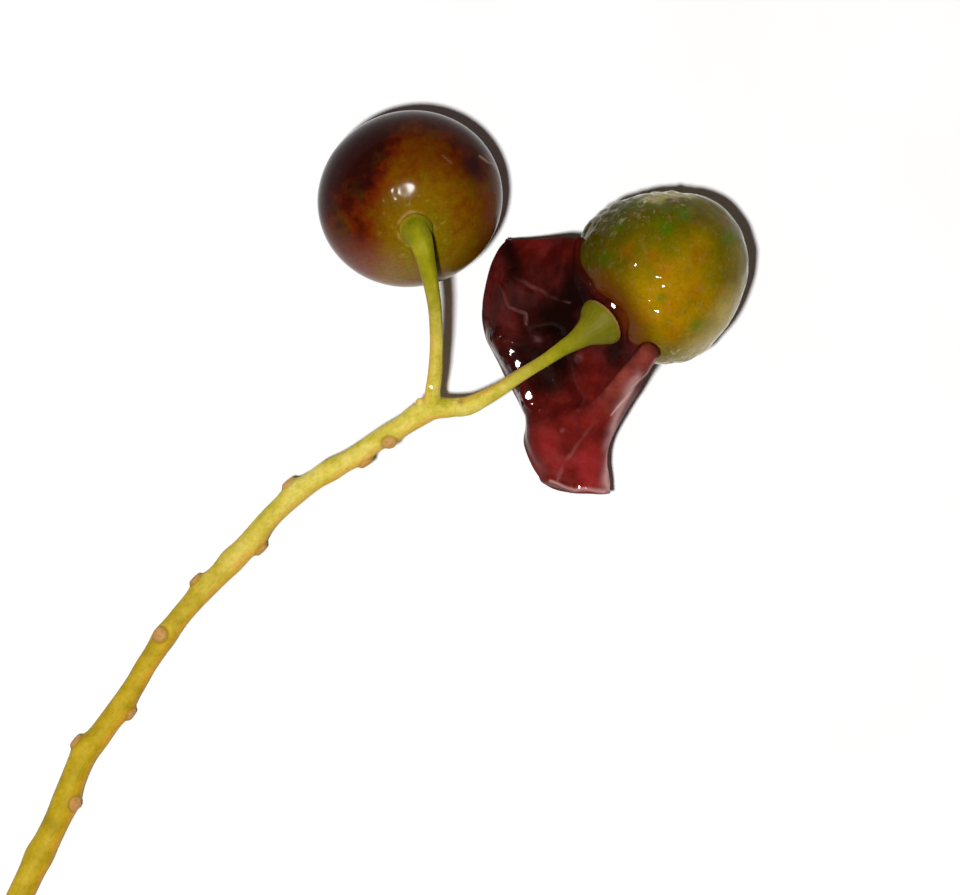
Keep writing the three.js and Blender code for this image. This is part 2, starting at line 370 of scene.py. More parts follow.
def facingSlope(spot):
    # the sideways over upwards lean of a surface that mirrors the lamp to the camera
    lamp = aim + unit([*flash["lean"], 1]) * flash["distance"] * 1000
    half = unit(lamp - spot) + unit(aim + [0, 0, view["height"] * 1000] - spot)
    return half[:2] / half[2]


def withGlints(points, spots, wrapped=False):
    # low tilts along z: at each spot the slope becomes the facing one and the ball's own roundness is taken
    # out over a share of it, both fading with distance; a second pass trues the slopes
    points = points.copy()
    for once in (1, 0):
        for x, y, reach, share in spots:
            normals = surfaceNormals(points, wrapped)
            upwards = normals[..., 2] > 0.15
            away = points[..., :2] - [x, y]
            gap = np.where(upwards, np.linalg.norm(away, axis=-1), 1e3)
            nearest = np.unravel_index(gap.argmin(), gap.shape)
            slope = normals[nearest][:2] / normals[nearest][2] - facingSlope(points[nearest])
            rounded = once * share * gap ** 2 / (2 * ballRadius)
            points[..., 2] += (away @ slope + rounded) * bell(gap, reach) * upwards
    return points


def withFacets(points, spots):
    # flat patches, uneven in outline: inside half the reach z follows the plane that mirrors the lamp, and
    # beyond it z goes back to the surface's own
    points = points.copy()
    for x, y, reach in spots:
        away = points[..., :2] - [x, y]
        gap = np.linalg.norm(away, axis=-1) * (1 + facetEdge * latticeNoise(points, 5, 12))
        top = points[..., 2][gap < reach].max()
        gap = np.where(points[..., 2] > top - facetDepth, gap, 1e3)
        middle = points[np.unravel_index(gap.argmin(), gap.shape)]
        plane = middle[2] - away @ facingSlope(middle)
        points[..., 2] += (plane - points[..., 2]) * (1 - smoothStep(gap, 0.5 * reach, 1.3 * reach))
    return points


# whole cherry

wholeCherry = {
    "radii": (4.04, 3.82, 3.88),
    "turn": 18,                        # of its long way, in degrees
    "pole": (0.076, -0.382, 0.921),    # towards the stalk
    "dimple": (0.22, 0.16, 0.78),      # depth, inner and outer angle
    "rings": 190,
    "turns": 300,
    "calyx": (0.215, 0.016, 0.02),     # the thin ring round the stalk: angle, width and height
    "puckers": (0.34, 0.09, 0.018),    # the skin outside it: angle, width and height
    "unevenness": 0.006,
    "bruise": ((0.7, 0.345, 0.625), 0.15, 0.05),   # direction, width and depth
    # highlights: x, y, reach and the share of the roundness that is taken out
    "glints": [(-1.06, 9.38, 0.58, 1.0), (-1.84, 9.24, 0.16, 0.6), (-1.7, 8.86, 0.14, 0.6),
               (-2.2, 8.8, 0.12, 0)],
    # how ripe it is: all over, towards the far side, lower down, on the ripe side and on the right, where the
    # extra darkness is partly painted shade
    "ripeness": (0.23, 0.25, 0.16, 0.29, 0.08),
    "ripeSide": (-1, 0.1, 0),
    "ripeSpots": [(-0.42, -0.6, 0.3, 0.12), (0.25, -0.35, 0.35, -0.1)],   # x, y, width and how much
    "paintedReflection": ((0.95, -0.12, 0.3), 0.22, 0.6),      # painted reflection, paler on the right limb: direction, width and strength
    # scratches seen from above: path, width and strength
    "scratches": [
        ([(1.95, 10.75), (2.3, 10.5), (2.62, 10.42), (2.9, 9.9)], 0.045, 1),
        ([(2.2, 10.85), (2.6, 10.3)], 0.035, 0.8),
        ([(0.35, 10.75), (0.75, 10.4)], 0.035, 0.4),
    ],
    # skin colours from unripe to ripe
    "tones": [
        (0.03, (122, 112, 4)), (0.14, (118, 90, 3)), (0.25, (114, 78, 3)), (0.35, (106, 60, 2)),
        (0.44, (100, 44, 2)), (0.51, (90, 29, 3)), (0.58, (66, 15, 5)), (0.66, (44, 10, 7)),
        (0.95, (36, 9, 10)),
    ],
    "olive": (0.7, (84, 88, 4)),
    # waxy bloom with painted sheen on the lamp's lower-left side, and a painted reflection on the right limb
    "bloomAndSheen": (0.6, (178, 132, 120)),
    "grain": (0.42, 0.8, (30, 14, 4)),
    # painted shade: darker brown towards the upper right, away from the lamp
    "shade": [("paintedShade", 0.4, (44, 20, 3))],
    "marks": [
        ("bruised", 1.15, (40, 11, 11)), ("scratch", 0.65, (170, 140, 120)), ("tan", 0.45, (188, 150, 84)),
        ("speck", 0.3, (170, 140, 80)),
    ],
    "finish": {
        "Roughness": 0.27, "IOR": 1.05, "Coat Weight": 0.85, "Coat Roughness": 0.13, "Coat IOR": 1.085,
    },
}


def wholeCherryPoints():
    # an ellipsoid less a round dimple at the stalk, plus a calyx ring, puckers, a bruise and low skin noise
    w = wholeCherry
    directions = ballGrid(w["pole"], w["rings"], w["turns"])
    x, y, z = directions[..., 0], directions[..., 1], directions[..., 2]
    c, s = math.cos(math.radians(w["turn"])), math.sin(math.radians(w["turn"]))
    turned = np.stack([x * c + y * s, y * c - x * s, z], -1)
    reach = 1 / np.linalg.norm(turned / np.array(w["radii"]), axis=-1)
    spots = directions * 3.9           # in mm on a ball, for the noises
    angle = np.arccos(np.clip(directions @ unit(w["pole"]), -1, 1))
    depth, inner, outer = w["dimple"]
    reach -= depth * (1 - smoothStep(angle, inner, outer))
    ragged = layeredNoise(directions, 6, 3, 3)
    ringAngle, ringWidth, ringHeight = w["calyx"]
    calyx = bell(angle - ringAngle - 0.012 * ragged, ringWidth) * smoothStep(ragged, -0.5, 0.4)
    reach += ringHeight * calyx
    puckerAngle, puckerWidth, puckerHeight = w["puckers"]
    puckers = bell(angle - puckerAngle, puckerWidth)
    reach += puckerHeight * puckers * smoothStep(0.2 - y, 0.1, 0.4) * layeredNoise(spots, 3.2, 2, 11)
    reach += w["unevenness"] * layeredNoise(spots, 0.8, 2, 5)
    towards, width, depth = w["bruise"]
    bruise = bell(np.linalg.norm(directions - unit(towards), axis=-1), width)
    reach -= depth * bruise
    points = withGlints(wholeCentre + directions * reach[..., None], w["glints"], True)
    points[..., 2] = np.maximum(points[..., 2], 0)

    allOver, farSide, lower, ripeSide, right = w["ripeness"]
    # the term on the right darkens that side, partly painted shade
    ripe = allOver + farSide * y + lower * (1 - z * np.abs(z)) + right * smoothStep(x, 0.15, 0.7)
    ripe += ripeSide * smoothStep(directions @ unit(w["ripeSide"]), 0.1, 0.55)
    ripe += spotted(directions, w["ripeSpots"])
    ripe += 0.05 * layeredNoise(spots, 0.7, 3, 21) + 0.02 * layeredNoise(spots, 3, 2, 31)
    # waxy bloom and painted sheen on the lamp's side, lower left; then a painted reflection along the right
    # limb
    bloomAndSheen = smoothStep(-0.35 * x - 0.9 * y, 0.5, 1.0) * smoothStep(z + 0.15 * ragged, -0.3, 0.15)
    towards, width, strength = w["paintedReflection"]
    bloomAndSheen += strength * bell(np.linalg.norm(directions - unit(towards), axis=-1), width)
    scratch = np.maximum.reduce([strength * bell(pathDistance(points[..., :2], path)[0], width)
                                 for path, width, strength in w["scratches"]])
    scratch *= (points[..., 2] > wholeCentre[2] - 1) * (0.4 + 0.6 * smoothStep(ragged, -0.6, 0.5))
    return points, {
        "ripe": ripe, "bloomAndSheen": bloomAndSheen, "scratch": scratch, "bruised": np.minimum(bruise, 0.8),
        # painted shade: darker towards the upper right, away from the lamp
        "paintedShade": smoothStep(0.45 * x + 0.85 * y, 0.15, 0.85),
        "tan": calyx * smoothStep(layeredNoise(spots, 2.2, 2, 41), -0.7, 0.4),
        "speck": puckers * smoothStep(layeredNoise(spots, 5, 2, 51), 0.35, 0.9),
    }


def wholeCherryMaterial():
    # ripeness through the skin colours, then olive patches, painted shade on the upper right, waxy bloom with
    # painted sheen and a painted reflection, grain and the marks
    w = wholeCherry
    m, shader = startMaterial("cherry skin", w["finish"])
    where = place(m)
    blotch = noise(m, where, 2.2, 3, 0.55)
    ripe = calc(m, "ADD", attribute(m, "ripe"), aroundZero(m, blotch, 0.3))
    base = ramp(m, ripe, w["tones"])
    share, colour = w["olive"]
    olive = product(m, mask(m, noise(m, where, 0.9, 3, 0.6), 0.5, 0.7), calc(m, "SUBTRACT", 0.75, ripe))
    base = blendColour(m, product(m, olive, share), base, tone(*colour))
    # painted shade towards the upper right
    base = painted(m, base, w["shade"])
    # bloom with painted sheen, and the painted reflection on the right limb
    share, colour = w["bloomAndSheen"]
    base = blendColour(m, product(m, attribute(m, "bloomAndSheen"), product(m, blotch, share)), base, tone(*colour))
    base = dusted(m, base, noise(m, where, 9, 3, 0.6), *w["grain"])
    feed(m, shader.inputs["Base Color"], painted(m, base, w["marks"]))
    skin = bump(m, noise(m, where, 14, 2, 0.5), 0.00001, 0.6)
    feed(m, shader.inputs["Normal"], bump(m, noise(m, where, 3.5, 2, 0.5), 0.00003, 0.5, skin))
    return m


wholeBall = ballPiece("wholeCherryBody", *wholeCherryPoints())
dressed(wholeBall, "whole_cherry", wholeCherryMaterial())


# peeled cherry

flesh = {
    "centre": (9.88, 5.68, 3.66),
    "radius": 3.74,
    "lobes": (3, 0.16, 36),            # count, height and turn
    "lowBumps": 0.045,
    "pole": (-0.706, -0.553, 0.443),   # towards the stalk
    "dimple": (0.26, 0.15, 0.55),      # depth, inner and outer angle
    "rings": 210,
    "turns": 320,
    "pulp": (0.028, 0.012),            # heights of the broad and the fine bumps
    "fibres": (0.06, 0.05),            # heights of the ridges on the upper left and the lower rim
    # highlights: x, y and reach, with the share of the roundness that is taken out from the large ones
    "glints": [(8.65, 6.04, 0.26, 0.5), (9.55, 5.52, 0.2, 0.3), (9.87, 5.12, 0.26, 0.6)],
    "facets": [(9.26, 4.48, 0.18), (9.6, 4.02, 0.18), (10.87, 3.05, 0.16)],
    # colour spots seen from above: x, y and width
    "greenSpots": [(10.8, 8.25, 0.35), (10.0, 7.65, 0.4), (12.8, 7.25, 0.4), (7.9, 7.7, 0.3),
                   (7.3, 6.3, 0.35), (11.3, 3.4, 0.3), (9.8, 4.6, 0.25)],
    "amberSpots": [(9.35, 6.35, 0.3), (10.2, 4.25, 0.4), (9.9, 5.8, 0.35), (11.2, 4.9, 0.4),
                   (11.4, 6.4, 0.4), (10.3, 3.1, 0.4), (8.3, 6.6, 0.3)],
    # flesh colours from dull to golden
    "tones": [(0.0, (84, 74, 1)), (0.35, (110, 92, 1)), (0.7, (136, 108, 2)), (1.0, (160, 120, 2))],
    "leaf": (0.3, (76, 92, 2)),
    "rust": (0.35, (142, 84, 3)),
    "marks": [("green", 0.6, (54, 104, 4)), ("amber", 0.45, (150, 84, 3)), ("dark", 0.62, (52, 44, 6)),
              ("stained", 0.85, (92, 34, 6))],
    # milky gel colour, also painted sheen on the lower right and along the top rim
    "milkySheen": (192, 178, 112),
    # pale streaks along the fibres, a painted highlight
    "fibreHighlight": (196, 184, 140),
    "grain": (0.48, 0.9, (44, 36, 2)),
    "finish": {
        "Roughness": 0.4, "IOR": 1.03, "Subsurface Weight": 0.25, "Subsurface Radius": (1.0, 0.8, 0.3),
        "Subsurface Scale": 0.0006, "Coat Weight": 1.0, "Coat Roughness": 0.04, "Coat IOR": 1.12,
    },
}
fleshCentre = np.array(flesh["centre"])


def fleshReach(directions, depth, inner, outer):
    # a ball with three broad lobes and low bumps, less a round dimple at the stalk
    x, y, z = directions[..., 0], directions[..., 1], directions[..., 2]
    count, height, turn = flesh["lobes"]
    lobes = np.cos(count * (np.arctan2(y, x) - math.radians(turn))) * (1 - z ** 2)
    low = np.sin(5 * x + 2) * np.sin(6 * y) * np.sin(5 * z + 1)
    angle = np.arccos(np.clip(directions @ unit(flesh["pole"]), -1, 1))
    dimple = depth * (1 - smoothStep(angle, inner, outer))
    return flesh["radius"] + height * lobes + flesh["lowBumps"] * low - dimple


def fleshPoints():
    # the lobed ball with pulp bumps, fibrous ridges along its upper rim and a rough lower rim
    directions = ballGrid(flesh["pole"], flesh["rings"], flesh["turns"])
    x, y, z = directions[..., 0], directions[..., 1], directions[..., 2]
    spots = directions * 3.7           # in mm on a ball, for the noises
    upperLeft = smoothStep(y - 0.35 * x, 0.55, 0.95)
    lower = smoothStep(-y, 0.75, 0.95)
    fibre = layeredNoise(spots * np.array([1.6, 1.6, 0.7]), 1.6, 3, 61)
    broad, fine = flesh["pulp"]
    onUpper, onLower = flesh["fibres"]
    reach = fleshReach(directions, *flesh["dimple"])
    reach += broad * layeredNoise(spots, 0.9, 2, 62) + fine * layeredNoise(spots, 2.6, 2, 63)
    reach += (upperLeft * onUpper + lower * onLower) * fibre
    points = withGlints(fleshCentre + directions * reach[..., None], flesh["glints"], True)
    points = withFacets(points, flesh["facets"])
    points[..., 2] = np.maximum(points[..., 2], 0)

    soft = layeredNoise(spots, 0.55, 3, 71)
    patch = layeredNoise(spots, 1.0, 3, 75)
    gold = bell(np.hypot((x - 0.2) / 0.85, (y + 0.3) / 0.7), 1) * (0.35 + 0.65 * smoothStep(z, -0.3, 0.3))
    green = 0.6 * smoothStep(0.8 * y - 0.25 * x + 0.45 * patch + 0.15 * soft, 0.42, 0.95)
    # milky gel with painted sheen on the lower right
    gelAndSheen = smoothStep(0.78 * x - 0.62 * y - 0.25 * np.maximum(z, 0) + 0.1 * soft, 0.35, 0.95)
    gelAndSheen *= smoothStep(z + 0.25 * patch + 0.2 * soft, -0.3, 0.2)
    # painted sheen along the top rim
    rim = smoothStep(y + 0.06 * patch, 0.84, 0.94) * bell(x - 0.12, 0.42) * smoothStep(z, -0.5, 0)
    stained = smoothStep(directions @ unit(flesh["pole"]), 0.70, 0.93)
    return points, {
        "gold": np.clip(gold + 0.2 * soft + 0.1 * patch, 0, 1),
        "green": green + spotted(points, flesh["greenSpots"]),
        "amber": spotted(points, flesh["amberSpots"]),
        "gelAndSheen": np.maximum(gelAndSheen, rim), "stained": stained, "unstained": 1 - stained,
        "dark": smoothStep(-x * 0.95 + 0.3 * y + 0.12 * patch, 0.25, 0.85),
        "fibre": (upperLeft + lower) * (0.5 + 0.5 * fibre),
    }


def fleshMaterial():
    # gold through the flesh colours, then leaf green, rust, spots, milky gel with painted sheen, pale threads
    # that are painted highlights on the fibres, and grain
    m, shader = startMaterial("cherry flesh", flesh["finish"])
    where = place(m)
    pulp = noise(m, where, 1.3, 4, 0.6)
    gold = calc(m, "ADD", attribute(m, "gold"), aroundZero(m, pulp, 0.5))
    base = ramp(m, gold, flesh["tones"])
    share, colour = flesh["leaf"]
    leaf = mask(m, noise(m, where, 1.0, 3, 0.65), 0.5, 0.66)
    base = blendColour(m, product(m, leaf, share), base, tone(*colour))
    share, colour = flesh["rust"]
    rust = mask(m, noise(m, where, 1.7, 3, 0.6), 0.54, 0.7)
    base = blendColour(m, product(m, rust, share), base, tone(*colour))
    base = painted(m, base, flesh["marks"])
    # milky gel and painted sheen
    milkySheen = product(m, attribute(m, "gelAndSheen"), calc(m, "MULTIPLY_ADD", pulp, 0.8, 0.3))
    base = blendColour(m, milkySheen, base, tone(*flesh["milkySheen"]))
    # painted highlights along the fibres
    fibreHighlight = mask(m, noise(m, place(m, (1.3, 0.9, 1.0)), 3.4, 3, 0.6), 0.54, 0.7)
    fibreHighlight = product(m, fibreHighlight, calc(m, "MULTIPLY_ADD", attribute(m, "fibre"), 0.8, 0.06))
    base = blendColour(m, product(m, fibreHighlight, attribute(m, "unstained")), base, tone(*flesh["fibreHighlight"]))
    feed(m, shader.inputs["Base Color"], dusted(m, base, noise(m, where, 7, 3, 0.6), *flesh["grain"]))
    wet = bump(m, noise(m, where, 5, 2, 0.5), 0.00002, 0.5)
    feed(m, shader.inputs["Normal"], bump(m, pulp, 0.00008, 0.5, wet))
    return m


fleshBall = ballPiece("peeledCherryBody", *fleshPoints())
dressed(fleshBall, "peeled_cherry", fleshMaterial())


# stalk

stalk = {
    # centre lines with their radius
    "rachis": [
        (1.3, -0.03, 3.45, 0.38), (0.6, -0.12, 3.42, 0.44), (-0.1, -0.15, 3.36, 0.5),
        (-0.75, -0.45, 3.24, 0.53), (-1.45, -0.92, 3.06, 0.45), (-2.5, -1.53, 2.76, 0.42),
        (-3.8, -2.4, 2.38, 0.43), (-5.15, -3.2, 1.98, 0.44), (-6.1, -3.9, 1.7, 0.46),
        (-7.15, -4.85, 1.38, 0.45), (-8.05, -5.9, 1.14, 0.48), (-9.1, -7.05, 0.94, 0.48),
        (-11.0, -9.05, 0.72, 0.45), (-12.5, -11.15, 0.64, 0.45), (-13.25, -12.4, 0.62, 0.46),
        (-14.65, -14.4, 0.63, 0.51), (-15.5, -15.6, 0.63, 0.55), (-16.5, -18.05, 0.64, 0.56),
        (-17.8, -20.7, 0.65, 0.57), (-20.2, -25.85, 0.65, 0.58),
    ],
    "leftPedicel": [
        (-0.35, -0.3, 3.3, 0.36), (-0.12, 0.2, 3.6, 0.38), (-0.1, 0.6, 3.84, 0.34), (0.0, 1.3, 4.3, 0.32),
        (0.05, 2.0, 4.84, 0.3), (0.08, 2.7, 5.4, 0.29), (0.06, 3.4, 5.98, 0.29), (0.02, 4.1, 6.56, 0.3),
        (-0.08, 4.8, 7.1, 0.32), (-0.22, 5.5, 7.56, 0.36), (-0.35, 6.1, 7.86, 0.4), (-0.48, 6.62, 7.98, 0.46),
        (-0.6, 7.02, 7.94, 0.53),
    ],
    "rightPedicel": [
        (0.5, -0.12, 3.42, 0.38), (1.35, -0.06, 3.5, 0.41), (2.15, 0.3, 3.76, 0.35), (2.85, 0.7, 4.06, 0.31),
        (3.5, 1.15, 4.44, 0.3), (4.15, 1.55, 4.82, 0.29), (4.85, 1.98, 5.2, 0.3), (5.5, 2.42, 5.5, 0.34),
        (6.1, 2.78, 5.7, 0.43), (6.52, 3.08, 5.7, 0.58),
    ],
    "knob": [(-0.6, -0.2, 3.44, 0.26), (-0.63, 0.08, 3.5, 0.23), (-0.64, 0.3, 3.52, 0.13)],
    # the ends on the cherries: height over the cherry's skin, and radius
    "leftFlare": [(0.42, 0.6), (0.26, 0.68), (0.1, 0.72), (-0.06, 0.74)],
    "rightFlare": [(0.62, 0.82), (0.36, 1.0), (0.16, 1.08), (-0.02, 1.08)],
    "flareReach": (3.68, 3.66),        # from each cherry's centre
    "ripples": [(0.012, 5, 0.7), (0.014, 4, 0.9), (0, 1, 0)],   # of pedicels and knob: height, count, twist
    # fruit scars: how far along the rachis, and the turn from its top in degrees
    "scars": [
        (3.75, -44), (5.25, -85), (6.8, 170), (8.6, 85), (11.55, -85), (12.8, 160), (14.5, 85), (17.25, 25),
        (20.85, -80), (23.2, 80), (25.6, -45), (28.3, 170), (31.4, -70),
    ],
    "scarSize": (0.34, 0.27, 0.13),    # half length, half width and height
    "swelling": (0.13, 0.55),          # height and length
    "facets": [(-0.17, 0.76, 0.2)],    # a wet highlight above the fork: x, y and reach
    "wetSpots": [(-0.17, 0.76, 0.3)],
    "brownSpots": [(1.13, 0.13, 0.13)],
    "step": 0.07,
    "sides": 48,
    "voxel": 0.055,
    "rachisTones": [(0.3, (180, 168, 40)), (0.5, (212, 194, 78)), (0.7, (224, 208, 108))],
    "oldTones": [(0.3, (156, 132, 10)), (0.5, (182, 154, 18)), (0.72, (200, 170, 40))],
    "greenTones": [(0.3, (118, 118, 4)), (0.55, (143, 139, 8)), (0.75, (164, 155, 24))],
    "scarTones": [(0.3, (168, 118, 66)), (0.6, (194, 144, 92)), (0.75, (204, 158, 104))],
    "scarRims": [("scarEdge", 0.55, (140, 92, 36))],
    "sunny": (222, 150, 44),
    "fibre": (0.45, 0.5, (150, 124, 20)),
    "grain": (0.45, 0.9, (126, 112, 12)),
    "marks": [
        # the first mark is darker olive towards the right flare's end, its own colour and painted shade
        ("flareShade", 0.75, (92, 88, 10)), ("spot", 0.6, (128, 84, 30)), ("flareRim", 0.9, (172, 126, 78)),
        ("leftRim", 0.7, (190, 150, 60)),
    ],
    "cutTones": ((150, 130, 50), (214, 200, 140)),   # the cut end's bark and pith
    "pith": 0.26,
    "finish": {
        "Roughness": 0.5, "IOR": 1.2, "Subsurface Weight": 0.15, "Subsurface Radius": (1.0, 0.9, 0.3),
        "Subsurface Scale": 0.0003, "Coat Roughness": 0.06, "Coat IOR": 1.12,
    },
}


def carriedPath(points):
    # a curve resampled in even steps, with its radius and its cross directions
    dense = throughPoints(points, np.linspace(0, 1, len(points) * 40))
    lengths = np.concatenate([[0], np.cumsum(np.linalg.norm(np.diff(dense[:, :3], axis=0), axis=1))])
    steps = np.linspace(0, lengths[-1], int(lengths[-1] / stalk["step"]) + 2)
    even = np.stack([np.interp(steps, lengths, dense[:, k]) for k in range(4)], -1)
    tangent = unit(np.gradient(even[:, :3], axis=0))
    left = unit(np.cross(tangent, [0, 0, 1]))
    top = np.cross(left, tangent)
    return {"steps": steps, "centre": even[:, :3], "radius": even[:, 3], "left": left, "top": top}


def scarFields(steps, turn, radius):
    # an oval measure from each scar's middle gives its pad, face and rim, with a swelling on that side
    halfLength, halfWidth, standsOut = stalk["scarSize"]
    swelling, swellingLength = stalk["swelling"]
    height, face, edge = np.zeros_like(turn), np.zeros_like(turn), np.zeros_like(turn)
    for along, degrees in stalk["scars"]:
        away = (turn - math.radians(degrees) + math.pi) % (2 * math.pi) - math.pi
        oval = np.hypot((steps - along) / halfLength, away * radius / halfWidth)
        height += swelling * bell(steps - along, swellingLength) * (1 + np.cos(away)) / 2
        height += standsOut * (1 - smoothStep(oval, 0.72, 1.15)) + 0.03 * bell(oval - 0.82, 0.14)
        face = np.maximum(face, 1 - smoothStep(oval, 0.75, 1.05))
        edge = np.maximum(edge, bell(oval - 1.02, 0.2))
    return height, face, edge


def tubePoints(path, number):
    # a circle of the path's radius, plus its scars or ripples, carried along the path
    turn = np.arange(stalk["sides"])[None] * 2 * math.pi / stalk["sides"]
    steps = path["steps"][:, None] + 0 * turn
    turn = turn + 0 * steps
    radius = path["radius"][:, None]
    if number == 0:
        extra = scarFields(steps, turn, radius)[0]
    else:
        height, count, twist = stalk["ripples"][number - 1]
        extra = height * np.sin(count * turn + twist * steps)
    across = np.sin(turn)[..., None] * path["left"][:, None] + np.cos(turn)[..., None] * path["top"][:, None]
    return path["centre"][:, None] + across * (radius + extra)[..., None]


def tubeCorners(rings, first):
    # a closed tube: grid faces round the rings, and a fan on each end's middle
    rows, sides = rings.shape[:2]
    corners = np.concatenate([rings.reshape(-1, 3), rings[:1].mean(1), rings[-1:].mean(1)])
    firstRing = first + np.arange(sides)
    lastRing = firstRing + (rows - 1) * sides
    middle = first + rows * sides
    faces = gridFaces(rows, sides, True, first)[:, ::-1].tolist()
    return corners, faces + fan(middle, firstRing) + fan(middle + 1, lastRing[::-1])


def flarePoints(centre, pole, reach, flare):
    # the pedicel's last points, square on the cherry
    axis = unit(pole)
    back = np.asarray(centre) + axis * reach
    return [(*(back + axis * height), radius) for height, radius in flare]


leftReach, rightReach = stalk["flareReach"]
leftEnd = flarePoints(wholeCentre, wholeCherry["pole"], leftReach, stalk["leftFlare"])
rightEnd = flarePoints(fleshCentre, flesh["pole"], rightReach, stalk["rightFlare"])
stalkPaths = [carriedPath(points) for points in (
    stalk["rachis"], stalk["leftPedicel"] + leftEnd, stalk["rightPedicel"] + rightEnd, stalk["knob"])]


def fusedStalk():
    # the tubes made one skin by a voxel remesh in millimetres, then smoothed
    corners, faces, count = [], [], 0
    for number, path in enumerate(stalkPaths):
        ring, face = tubeCorners(tubePoints(path, number), count)
        corners.append(ring)
        faces += face
        count += len(ring)
    mesh = newMesh("stalkTubes", np.concatenate(corners), faces)
    mesh.update()
    tubes = bpy.data.objects.new("stalkTubes", mesh)
    bpy.context.scene.collection.objects.link(tubes)
    remesh = tubes.modifiers.new("fuse", "REMESH")
    remesh.mode = "VOXEL"
    remesh.voxel_size = stalk["voxel"]
    smooth = tubes.modifiers.new("smooth", "SMOOTH")
    smooth.factor = 0.5
    smooth.iterations = 5
    fused = bpy.data.meshes.new_from_object(tubes.evaluated_get(bpy.context.evaluated_depsgraph_get()))
    bpy.data.objects.remove(tubes)
    bpy.data.meshes.remove(mesh)
    fused.name = "stalkSkin"
    return fused


def nearestOnPath(points, path):
    # each point's nearest step of the path, taken in batches
    found = np.zeros(len(points), int)
    gaps = np.zeros(len(points))
    for start in range(0, len(points), 4000):
        batch = points[start:start + 4000]
        away = ((batch[:, None] - path["centre"][None]) ** 2).sum(-1)
        found[start:start + 4000] = away.argmin(1)
        gaps[start:start + 4000] = np.sqrt(away.min(1))
    return found, gaps


def stalkAttributes(points):
    # for each point: which tube it is on, how far along, its turn round it, and the marks there
    found = [nearestOnPath(points, path) for path in stalkPaths]
    gaps = np.stack([gap / path["radius"][near] for (near, gap), path in zip(found, stalkPaths)])
    on = gaps.argmin(0)
    along, remaining, side, top, rounded = np.zeros((5, len(points)))
    for k, ((near, _), path) in enumerate(zip(found, stalkPaths)):
        mine = on == k
        near = near[mine]
        away = points[mine] - path["centre"][near]
        sideways = (away * path["left"][near]).sum(-1)
        upwards = (away * path["top"][near]).sum(-1)
        rounded[mine] = np.maximum(np.hypot(sideways, upwards), 1e-6)
        side[mine] = sideways / rounded[mine]
        top[mine] = upwards / rounded[mine]
        along[mine] = path["steps"][near]
        remaining[mine] = path["steps"][-1] - path["steps"][near]
    rachis, left, right = on == 0, on == 1, on == 2
    _, face, edge = scarFields(along, np.arctan2(side, top), stalkPaths[0]["radius"][found[0][0]])
    return {
        "along": along + 40 * on,          # each tube has its own stretch of the bark's pattern
        "side": side, "top": top, "rounded": rounded,
        "scar": face * rachis, "scarEdge": edge * rachis,
        "green": (left | right) * (1 - smoothStep(remaining, 2.2, 7)),
        "old": rachis * smoothStep(along, 8, 19),
        "cut": rachis * (remaining < 0.04),
        "flareRim": right * bell(remaining - 0.02, 0.1),
        # darker towards the right flare's end, its own colour and painted shade
        "flareShade": right * (1 - smoothStep(remaining, 0.3, 3.2)),
        "leftRim": left * bell(remaining - 0.02, 0.14),
        "spot": spotted(points, stalk["brownSpots"]), "wet": spotted(points, stalk["wetSpots"]),
    }


def stalkMaterial():
    # young, old and green bark by place, a sunny side, fibres along it, then scars, marks with painted shade
    # at the right flare's end, and the cut end
    m, shader = startMaterial("stalk bark", stalk["finish"])
    where = place(m)
    lengthwise = m.node_tree.nodes.new("ShaderNodeCombineXYZ")
    for socket, (name, stretch) in zip(lengthwise.inputs, (("along", 0.35), ("side", 1.6), ("top", 1.6))):
        feed(m, socket, product(m, attribute(m, name), stretch))
    fibre = noise(m, lengthwise.outputs[0], 3.2, 4, 0.6)
    mottle = noise(m, where, 1.1, 3, 0.6)
    fine = noise(m, where, 6, 3, 0.6)
    base = ramp(m, mottle, stalk["rachisTones"])
    base = blendColour(m, attribute(m, "old"), base, ramp(m, mottle, stalk["oldTones"]))
    base = blendColour(m, attribute(m, "green"), base, ramp(m, mottle, stalk["greenTones"]))
    sunny = calc(m, "SUBTRACT", aroundZero(m, mottle, 1.6), attribute(m, "side"))
    sunny = product(m, mask(m, sunny, 0.35, 0.95), calc(m, "MULTIPLY_ADD", attribute(m, "green"), -0.45, 0.5))
    base = blendColour(m, sunny, base, tone(*stalk["sunny"]))
    base = dusted(m, base, fibre, *stalk["fibre"])
    base = dusted(m, base, fine, *stalk["grain"])
    base = painted(m, base, stalk["scarRims"])
    scar = product(m, attribute(m, "scar"), 0.85)
    base = blendColour(m, scar, base, ramp(m, fine, stalk["scarTones"]))
    base = painted(m, base, stalk["marks"])
    bark, pith = stalk["cutTones"]
    inner = calc(m, "LESS_THAN", attribute(m, "rounded"), stalk["pith"])
    cutTone = blendColour(m, inner, tone(*bark), tone(*pith))
    feed(m, shader.inputs["Base Color"], blendColour(m, attribute(m, "cut"), base, cutTone))
    feed(m, shader.inputs["Coat Weight"], attribute(m, "wet"))
    feed(m, shader.inputs["Normal"], bump(m, fibre, 0.00007, 0.6, bump(m, fine, 0.00003, 0.5)))
    return m


def stalkPiece():
    # the fused skin with its wet facet, kept just above the floor
    mesh = fusedStalk()
    points = np.zeros(len(mesh.vertices) * 3)
    mesh.vertices.foreach_get("co", points)
    points = withFacets(points.reshape(-1, 3), stalk["facets"])
    points[:, 2] = np.maximum(points[:, 2], 0.01)
    mesh.vertices.foreach_set("co", toRow(points).ravel())
    return newPiece(mesh, stalkAttributes(points))


dressed(stalkPiece(), "stalk", stalkMaterial())


# peel

